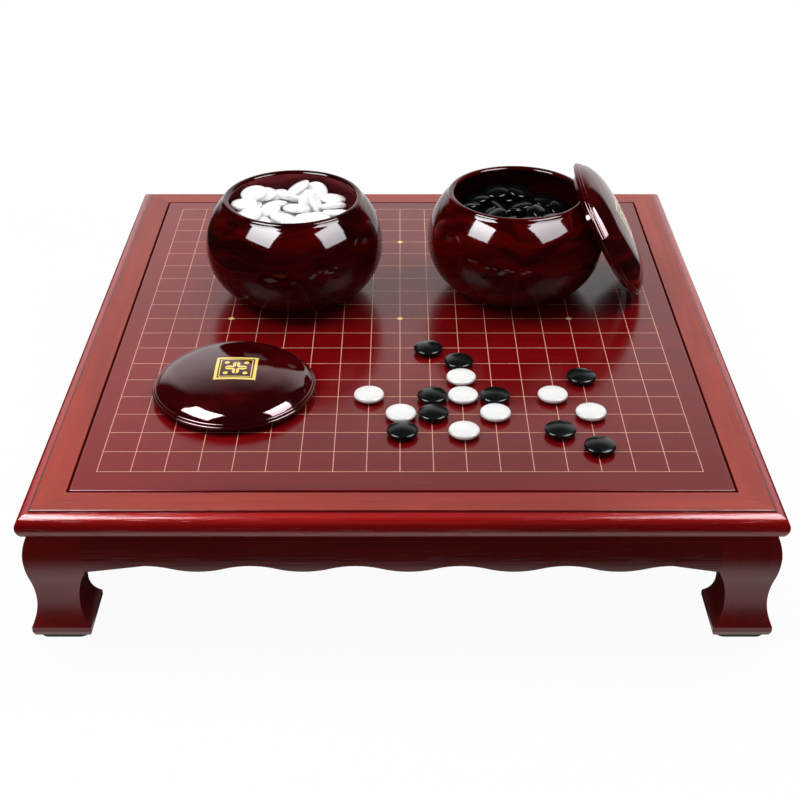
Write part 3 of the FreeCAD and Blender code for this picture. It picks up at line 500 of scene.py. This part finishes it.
def arc_radius(run, rise):
    """Radius of an arc that is upright at one end and has this run and rise."""
    return (run * run + rise * rise) / (2 * run)


def turned_mesh(outline, sides):
    """A bmesh turned round Z from an outline that starts and ends on the axis."""
    shape = bmesh.new()
    ring = [shape.verts.new((point.x * MM, 0, point.y * MM)) for point in outline_points(outline)]
    edges = [shape.edges.new(pair) for pair in zip(ring, ring[1:])]
    bmesh.ops.spin(shape, geom=ring + edges, cent=(0, 0, 0), axis=(0, 0, 1),
                   angle=math.tau, steps=sides, use_merge=True)
    bmesh.ops.remove_doubles(shape, verts=shape.verts, dist=1e-6)
    bmesh.ops.recalc_face_normals(shape, faces=shape.faces)
    return shape


def new_piece(name, shape, material, body, slot, *nodes, sharp=35):
    """A piece that stands for CAD nodes; edges bent by more than sharp degrees stay sharp."""
    piece = object_from(shape, name)
    piece.data.shade_smooth()
    piece.data.set_sharp_from_angle(angle=math.radians(sharp))
    piece.data.materials.append(material)
    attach(piece, body)
    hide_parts(*nodes)
    return piece


def foot_of(node):
    """The middle of a node's underside."""
    low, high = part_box(node)
    return Vector(((low.x + high.x) / 2, (low.y + high.y) / 2, low.z))


BOWL_SIDES = 128
BOWL_OUTLINE = [
    (0, 1), (32, 1), (32, 0), (38, 0, arc_radius(32, 43), -1, 18),
    (70, 43, arc_radius(15.5, 37.5), -1, 18),
    (54.5, 80.5, 2.51, -1, 12),
    (49.5, 80.5, arc_radius(12.1, 37.5), 1, 12),
    (61.6, 43, arc_radius(26.6, 34.5), 1, 12),
    (35, 8.5), (0, 8.5),
]

LID_OUTLINE = [
    (0, 17.4, arc_radius(13.6, 46.7), 1, 14),
    (46.7, 3.8), (46.7, 0), (48.9, 0), (48.9, 3.8),
    (57.1, 3.8, 1.4, -1, 6), (57.1, 6.4),
    (56.6, 6.4, 1.3, -1, 5),
    (55.3, 8.2, 18.0, -1, 10), (49.4, 13.7, 43.3, -1, 10),
    (36, 18.7, arc_radius(3.3, 36), -1, 16), (0, 22),
]
LID_LEAN, LID_TURN = math.radians(60.3), math.radians(-2.8)


def make_bowl(shade, material, lining):
    """A turned bowl; its hollow, between the floor and the lip, has colours of its own: painted
    light and sheen in the white bowl, darker in the black bowl.
    """
    shape = turned_mesh(BOWL_OUTLINE, BOWL_SIDES)
    for face in shape.faces:
        middle = face.calc_center_median()
        faces_in = face.normal.xy.dot(middle.xy) < 0
        face.material_index = int(faces_in and 8 * MM < middle.z < 79.5 * MM)
    bmesh.ops.translate(shape, verts=shape.verts, vec=foot_of(f"bowl_{shade}"))
    piece = new_piece(f"turned_bowl_{shade}", shape, material, f"{shade}_bowl", "bowl_wood",
                      f"bowl_{shade}")
    piece.data.materials.append(lining)


BARE = (99, 99)                     # a spot on the lid's plan that is clear of the ornament


def make_lid(shade, material, place, off_centre):
    """A domed lid whose gilt ornament sits off_centre on the dome, in millimetres."""
    shape = turned_mesh(LID_OUTLINE, BOWL_SIDES)
    plan = shape.loops.layers.uv.new("lid_plan")
    for face in shape.faces:
        for loop in face.loops:
            spot = loop.vert.co / MM
            under = spot.z < 17.6 and max(abs(spot.x), abs(spot.y)) < 20
            loop[plan].uv = BARE if under else spot.xy - Vector(off_centre)
    bmesh.ops.transform(shape, matrix=place, verts=shape.verts)
    new_piece(f"domed_lid_{shade}", shape, material, f"{shade}_lid", "lid_wood",
              f"lid_{shade}")


def leaning_place():
    """Where the black stones' lid leans: tilted and turned, its corner where its node's is."""
    tilted = Matrix.Rotation(LID_TURN, 4, "Z") @ Matrix.Rotation(LID_LEAN, 4, "Y")
    trial = turned_mesh(LID_OUTLINE, BOWL_SIDES)
    bmesh.ops.transform(trial, matrix=tilted, verts=trial.verts)
    corner = Vector(min(vert.co[axis] for vert in trial.verts) for axis in range(3))
    trial.free()
    return Matrix.Translation(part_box("lid_black")[0] - corner) @ tilted


# ---------------------------------------------------------------- stones

def stone_outline(edge_steps, dome_steps):
    """A small flat seat, a dome, a rounded edge and a dome again, for turned_mesh."""
    radius, thick = STONE_RADIUS / MM, STONE_THICK / MM
    tall, reach, flat = 3.2, 1.12, 4.0      # the edge's height and reach, the seat's radius
    shoulder, dome = radius - reach, (thick - tall) / 2
    edge_radius = (tall * tall / 4 + reach * reach) / (2 * reach)
    dome_radius = arc_radius(dome, shoulder)
    return [(0, 0), (flat, 0, dome_radius, -1, dome_steps),
            (shoulder, dome, edge_radius, -1, edge_steps),
            (shoulder, thick - dome, dome_radius, -1, dome_steps), (0, thick)]


def make_stones_in_play(black, white):
    outline = stone_outline(8, 6)
    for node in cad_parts:
        if "_stone_" not in node:
            continue
        shade = node.split("_")[0]
        shape = turned_mesh(outline, 48)
        bmesh.ops.translate(shape, verts=shape.verts, vec=foot_of(node))
        new_piece(f"turned_{node}", shape, black if shade == "black" else white, node,
                  f"{shade}_stone", node)


HEAP_REACH = 48.0 * MM              # just inside the bowl's mouth, so a heap can be lifted out
HEAP_FLOOR = 8.5 * MM
POUR_SCALE = 100.0                  # the stones are poured at this scale, where physics is steady
POUR_FRAMES = 150
WELL_SPACING = 20.0                 # between the wells, at that scale
WELL_SIDES = 24
WELL_FLOOR = 0.14                   # the width of a well's floor, in metres before that scale
LAYER_SPREAD = 1.9                  # how far apart the layers start, so that they fall loosely
DROP_JITTER = 14                    # how far off its mark a dropped stone may start, in mm
DROP_STEP = 9                       # from one dropped stone up to the next, in mm

# For the white and the black heap: stones laid in rings, stones dropped on them, where and from
# what height, and the level that no stone may stand above.
HEAP_PLANS = (
    (200, 10, (12 * MM, 10 * MM), 0.33, 80 * MM),
    (184, 6, (8 * MM, 14 * MM), 0.35, 72 * MM),
)
COVERED_BY, COVERED_WITHIN = 5 * MM, 8 * MM     # how much higher and how near a cover lies
STONE_PATTERNS = ((14, 1, 1), (28, 4, 3))       # plain and fine: sides, edge and dome steps


def ring_heap(count, chance, spread=1.0):
    """Stones in rough rings, layer on layer, each a little tilted."""
    height = HEAP_FLOOR + STONE_THICK / 2
    spacing = 2 * STONE_RADIUS + 0.3 * MM
    laid = []
    layer = 0
    while len(laid) < count:
        reach = HEAP_REACH - STONE_RADIUS - 0.5 * MM
        while reach > 0:
            ring = max(1, int(math.pi / math.asin(min(1.0, spacing / 2 / reach))))
            for index in range(ring):
                angle = math.tau * (index + 0.5 * (layer % 2)) / ring
                spot = Vector((reach * math.cos(angle), reach * math.sin(angle), height))
                tilt = Matrix.Rotation(chance.uniform(0.05, 0.3), 4, (
                    chance.uniform(-1, 1), chance.uniform(-1, 1), 0.01))
                laid.append(Matrix.Translation(spot) @ tilt)
            reach -= spacing
        height += (STONE_THICK + 0.2 * MM) * spread
        layer += 1
    return laid[:count]


def mound_stones(count, mound, start, chance):
    """Stones let go one above another over one side of the bowl."""
    for index in range(count):
        spot = Vector((mound[0] + chance.uniform(-DROP_JITTER, DROP_JITTER) * MM,
                       mound[1] + chance.uniform(-DROP_JITTER, DROP_JITTER) * MM,
                       start + index * DROP_STEP * MM))
        yield Matrix.Translation(spot) @ Matrix.Rotation(chance.uniform(-0.5, 0.5), 4, "X")


def add_bodies(things, kind, shape):
    """Make the things rigid bodies of glazed stone, at the pouring scale."""
    for thing in bpy.context.selected_objects:
        thing.select_set(False)
    for thing in things:
        thing.select_set(True)
    bpy.context.view_layer.objects.active = things[0]
    bpy.ops.rigidbody.objects_add(type=kind)
    for thing in things:
        body = thing.rigid_body
        body.collision_shape = shape
        body.use_margin = True
        body.collision_margin = 0.012
        body.friction = 0.2
        body.restitution = 0.02
        body.linear_damping = 0.12
        body.angular_damping = 0.25


def pour(batches, levels):
    """Let each batch fall into its own well; returns where the stones under its level rest."""
    scene = bpy.context.scene
    bpy.ops.rigidbody.world_add()
    scene.rigidbody_world.substeps_per_frame = 12
    scene.rigidbody_world.solver_iterations = 16
    scene.rigidbody_world.point_cache.frame_end = POUR_FRAMES
    stone = turned_mesh(stone_outline(1, 1), 12)
    bmesh.ops.translate(stone, verts=stone.verts, vec=(0, 0, -STONE_THICK / 2))
    bmesh.ops.scale(stone, verts=stone.verts, vec=(POUR_SCALE,) * 3)
    pattern = mesh_from(stone, "poured_stone")
    walls, stones = [], []
    for batch, placements in enumerate(batches):
        middle = Vector((WELL_SPACING * batch, 0, 0))
        walls += make_well(middle)
        for placement in placements:
            thing = bpy.data.objects.new("poured", pattern)
            bpy.context.collection.objects.link(thing)
            spot, turn, _ = placement.decompose()
            thing.matrix_world = Matrix.LocRotScale(spot * POUR_SCALE + middle, turn, None)
            stones.append(thing)
    add_bodies(walls, "PASSIVE", "CONVEX_HULL")
    add_bodies(stones, "ACTIVE", "CONVEX_HULL")
    for frame_number in range(1, POUR_FRAMES + 1):
        scene.frame_set(frame_number)
    settled = bpy.context.evaluated_depsgraph_get()
    rested = [thing.evaluated_get(settled).matrix_world.copy() for thing in stones]
    bpy.ops.rigidbody.world_remove()
    for thing in walls + stones:
        bpy.data.objects.remove(thing)
    scene.frame_set(1)
    found, used = [], 0
    for batch, placements in enumerate(batches):
        middle = Vector((WELL_SPACING * batch, 0, 0))
        heap = []
        for matrix in rested[used:used + len(placements)]:
            spot, turn, _ = matrix.decompose()
            spot = (spot - middle) / POUR_SCALE
            upright = abs((turn @ Vector((0, 0, 1))).z)
            top = spot.z + STONE_RADIUS * math.sqrt(max(0.0, 1 - upright * upright))
            in_well = spot.xy.length < HEAP_REACH - STONE_RADIUS / 2 and spot.z > 0
            if in_well and top < levels[batch]:
                heap.append(Matrix.LocRotScale(spot, turn, None))
        used += len(placements)
        found.append(heap)
    return found


def make_well(middle):
    """Slabs round a round floor, which stand for the bowl while the stones are poured."""
    slabs = []
    wide, thick, tall = 14 * MM, 6 * MM, 300 * MM
    for side in range(WELL_SIDES + 1):
        shape = bmesh.new()
        bmesh.ops.create_cube(shape, size=POUR_SCALE)
        if side < WELL_SIDES:
            bmesh.ops.scale(shape, verts=shape.verts, vec=(thick, wide, tall))
            bmesh.ops.translate(shape, verts=shape.verts, vec=(
                (HEAP_REACH + thick / 2) * POUR_SCALE, 0, tall / 2 * POUR_SCALE))
            bmesh.ops.rotate(shape, verts=shape.verts,
                             matrix=Matrix.Rotation(math.tau * side / WELL_SIDES, 3, "Z"))
        else:
            bmesh.ops.scale(shape, verts=shape.verts, vec=(WELL_FLOOR, WELL_FLOOR, thick))
            bmesh.ops.translate(shape, verts=shape.verts, vec=(
                0, 0, (HEAP_FLOOR - thick / 2) * POUR_SCALE))
        slab = object_from(shape, "well")
        slab.location = middle
        slabs.append(slab)
    return slabs


def lay_heaps():
    chance = random.Random(7)
    batches = [ring_heap(ringed, chance, LAYER_SPREAD)
               + list(mound_stones(dropped, mound, start, chance))
               for ringed, dropped, mound, start, _ in HEAP_PLANS]
    return pour(batches, [plan[-1] for plan in HEAP_PLANS])


def lies_on_top(placement, placements):
    """Whether no other stone lies over this one's middle."""
    spot = placement.translation
    return not any(other.translation.z > spot.z + COVERED_BY
                   and (other.translation - spot).xy.length < COVERED_WITHIN
                   for other in placements)


def make_heap(shade, material, placements):
    """One mesh of loose stones: fine ones on top, where they are seen, plain ones beneath."""
    heap = bmesh.new()
    base = foot_of(f"bowl_{shade}")
    centred = Matrix.Translation((0, 0, -STONE_THICK / 2))
    patterns = [mesh_from(turned_mesh(stone_outline(edge_steps, dome_steps), sides),
                          "stone_pattern")
                for sides, edge_steps, dome_steps in STONE_PATTERNS]
    for placement in placements:
        start = len(heap.verts)
        heap.from_mesh(patterns[lies_on_top(placement, placements)])
        heap.verts.ensure_lookup_table()
        bmesh.ops.transform(heap, matrix=Matrix.Translation(base) @ placement @ centred,
                            verts=heap.verts[start:])
    for pattern in patterns:
        bpy.data.meshes.remove(pattern)
    new_piece(f"loose_{shade}_stones", heap, material, f"{shade}_heap", f"{shade}_stone",
              f"{shade}_stones_in_bowl", sharp=60)


# ---------------------------------------------------------------- the whole set

def make_set():
    finish_cad_nodes()
    white_bowl = gloss_bowl("lacquered_bowl", colour(0.014, 0.0003, 0.0006),
                            colour(0.072, 0.0005, 0.0008))
    black_bowl = gloss_bowl("lacquered_bowl_redder", colour(0.027, 0.0003, 0.0005),
                            colour(0.118, 0.0006, 0.0008))
    # painted light: the white bowl's hollow is coloured pale grey-pink for the light and sheen on
    # its inner wall; the black bowl's hollow is darker
    painted_light_inside = gloss_bowl("bowl_inside", colour(0.19, 0.028, 0.033),
                              colour(0.38, 0.066, 0.072))
    darker_inside = gloss_bowl("bowl_inside_darker", colour(0.02, 0.001, 0.001),
                               colour(0.06, 0.004, 0.003))
    lid_finish = gloss_bowl("lacquered_lid", colour(0.025, 0.0005, 0.0008),
                            colour(0.080, 0.0015, 0.002), ornament=True, ior=1.85,
                            tint=(1.0, 0.70, 0.74))
    make_bowl("white", white_bowl, painted_light_inside)
    make_bowl("black", black_bowl, darker_inside)
    make_lid("white", lid_finish, Matrix.Translation(foot_of("lid_white")), (2.5, -3.3))
    make_lid("black", lid_finish, leaning_place(), (-4.0, 0.0))
    make_stones_in_play(stone_finish("black_stone_glaze", BLACK_GLAZE, 0.2, BLACK_GLAZE_IOR),
                        stone_finish("white_stone_glaze", WHITE_GLAZE, 0.2))
    white_heap, black_heap = lay_heaps()
    # the heaps' colours carry painted light (white) and painted shade (black)
    make_heap("white", stone_finish("white_heap_glaze_painted_light", WHITE_HEAP_GLAZE_PAINTED_LIGHT, 0.2), white_heap)
    make_heap("black", stone_finish("black_heap_glaze_painted_shade", BLACK_HEAP_GLAZE_PAINTED_SHADE, 0.13,
                                    BLACK_GLAZE_IOR), black_heap)


# ---------------------------------------------------------------- studio

CAMERA_PLACE = (-0.0014, -0.9385, 0.6086)
CAMERA_DIP = 31.82                  # degrees below level
CAMERA_LENS, CAMERA_SENSOR = 61.414, 36.0       # in millimetres
WHITE = colour(1, 1, 1)
FLOOR_PALE, FLOOR_DIM = colour(0.85, 0.85, 0.85), colour(0.22, 0.22, 0.22)
CARD_WHITE = colour(0.96, 0.96, 1)
TABLE_MIDDLE = (0, 0, 0.12)         # where the lamps point
LAMPS = (                           # name, place, width, height, watts
    ("left_softbox", (-0.52, -0.10, 0.76), 0.4, 0.4, 3.1),
    ("right_softbox", (0.55, 0.20, 0.78), 0.4, 0.4, 3.1),
    ("front_fill", (0, -1.25, 0.72), 0.8, 0.4, 1.5),
    ("overhead", (0, 0.1, 1.4), 1.0, 1.0, 8.8),
)
CARD_WIDE, CARD_HIGH = 0.38, 0.32
CARDS = (                           # name, place, what it faces, strength
    ("left_card", (-0.42, -0.26, 0.56), (-0.08, 0.0, 0.16), 26.0),
    ("right_card", (0.40, -0.20, 0.52), (0.06, 0.0, 0.16), 18.0),
)


def make_camera():
    data = bpy.data.cameras.new("camera")
    data.sensor_width = CAMERA_SENSOR
    data.lens = CAMERA_LENS
    camera = bpy.data.objects.new("camera", data)
    camera.location = CAMERA_PLACE
    camera.rotation_euler = (math.radians(90 - CAMERA_DIP), 0, 0)
    bpy.context.collection.objects.link(camera)
    bpy.context.scene.camera = camera


def between_slopes(nodes, parts, right, left):
    """A mask between two slopes, X over Y, each faded from its first to its second value."""
    slope = nodes.math("DIVIDE", parts[0], nodes.math("MAXIMUM", parts[1], 0.01))
    return nodes.math("MULTIPLY", nodes.spread(slope, *right), nodes.spread(slope, *left))


def make_world():
    """White to the camera; gloss sees a tall pale backdrop behind and dimness elsewhere."""
    world = bpy.data.worlds.new("studio")
    bpy.context.scene.world = world
    world.use_nodes = True
    tree = world.node_tree
    tree.nodes.clear()
    nodes = Nodes(tree)
    parts = nodes.split(nodes.add("ShaderNodeTexCoord").outputs["Generated"])
    behind = nodes.spread(parts[1], 0.28, 0.42)
    sides = between_slopes(nodes, parts, (1.0, 0.8), (-0.92, -0.62))
    wall = nodes.math("MULTIPLY", nodes.math("MULTIPLY", behind, sides),
                      nodes.spread(parts[2], 0.82, 0.42, 0.0, 1.08))
    gloss = nodes.math("MULTIPLY_ADD", wall, 0.99, 0.01)
    diffuse = nodes.math("MULTIPLY_ADD", wall, 0.3, 0.14)
    path = nodes.add("ShaderNodeLightPath").outputs
    level = nodes.choose(path["Is Glossy Ray"], diffuse, gloss)
    background = nodes.add("ShaderNodeBackground", inputs={
        "Color": WHITE, "Strength": nodes.choose(path["Is Camera Ray"], level, 1.0)})
    output = nodes.add("ShaderNodeOutputWorld")
    nodes.feed(output.inputs["Surface"], background.outputs[0])


def make_floor():
    """White to the camera but for the table's shadow; gloss sees it partly white."""
    shape = bmesh.new()
    bmesh.ops.create_grid(shape, x_segments=1, y_segments=1, size=20)
    floor = object_from(shape, "floor")
    material, nodes, shader, place = new_material("pale_floor")
    path = nodes.add("ShaderNodeLightPath").outputs
    parts = nodes.split(place)
    past = past_reach(nodes, parts, TABLE_REACH)
    nodes.feed(shader.inputs["Base Color"],
               nodes.blend(path["Is Camera Ray"], FLOOR_DIM, FLOOR_PALE))
    shader.inputs["Roughness"].default_value = 0.9
    shader.inputs["Specular IOR Level"].default_value = 0.0
    # gloss sees white behind and a white strip round the table's foot, and dimness in front
    strip = nodes.math("MULTIPLY", nodes.spread(past, 0.07, 0.045), nodes.spread(past, -0.03, 0.0))
    behind = nodes.math("MULTIPLY", nodes.spread(parts[1], 0.05, 0.30),
                        between_slopes(nodes, parts, (1.1, 0.9), (-0.8, -0.5)))
    white = nodes.math("MULTIPLY_ADD", nodes.math("MAXIMUM", strip, behind), 0.85, 0.01)
    glow = nodes.add("ShaderNodeEmission", inputs={
        "Color": WHITE, "Strength": nodes.choose(path["Is Camera Ray"], white, 1.0)})
    mix = nodes.add("ShaderNodeMixShader")
    shown = nodes.math("MULTIPLY", path["Is Camera Ray"], nodes.spread(past, 0.05, 0.4, 0.95, 1.0))
    nodes.feed(mix.inputs[0], nodes.math("MAXIMUM", shown, path["Is Glossy Ray"]))
    nodes.feed(mix.inputs[1], shader.outputs[0])
    nodes.feed(mix.inputs[2], glow.outputs[0])
    nodes.feed(material.node_tree.nodes["Material Output"].inputs["Surface"], mix.outputs[0])
    floor.data.materials.append(material)


def aim(thing, place, target):
    thing.location = place
    thing.rotation_euler = (Vector(target) - Vector(place)).to_track_quat("-Z", "Y").to_euler()


def make_lamp(name, place, wide, high, watts):
    """A soft lamp over or before the table; gloss sees the cards and the wall instead."""
    data = bpy.data.lights.new(name, "AREA")
    data.shape = "RECTANGLE"
    data.size, data.size_y = wide, high
    data.energy = watts
    lamp = bpy.data.objects.new(name, data)
    aim(lamp, place, TABLE_MIDDLE)
    lamp.visible_camera = False
    lamp.visible_glossy = False
    bpy.context.collection.objects.link(lamp)


def make_card(name, place, target, strength):
    """A bright card that only gloss sees: the face of a softbox."""
    shape = bmesh.new()
    bmesh.ops.create_grid(shape, x_segments=1, y_segments=1, size=0.5)
    bmesh.ops.scale(shape, verts=shape.verts, vec=(CARD_WIDE, CARD_HIGH, 1))
    card = object_from(shape, name)
    aim(card, place, target)
    material, nodes, _, place_on_card = new_material(name)
    # brightest at its upper edge, and dimmed where it is seen by way of two mirrors
    upward = nodes.spread(nodes.split(place_on_card)[1], -CARD_HIGH / 2, CARD_HIGH / 2, 0.6, 1.0)
    depth = nodes.add("ShaderNodeLightPath").outputs["Ray Depth"]
    level = nodes.math("MULTIPLY", nodes.math("MULTIPLY", upward, strength),
                       nodes.spread(depth, 2.0, 1.0, 0.3, 1.0))
    glow = nodes.add("ShaderNodeEmission", inputs={"Color": CARD_WHITE, "Strength": level})
    nodes.feed(material.node_tree.nodes["Material Output"].inputs["Surface"], glow.outputs[0])
    card.data.materials.append(material)
    card.visible_camera = False
    card.visible_diffuse = False
    card.visible_shadow = False
    card.visible_transmission = False


def make_studio():
    make_camera()
    make_world()
    make_floor()
    for lamp in LAMPS:
        make_lamp(*lamp)
    for card in CARDS:
        make_card(*card)


make_studio()
make_set()
bpy.context.scene.view_settings.view_transform = "Standard"
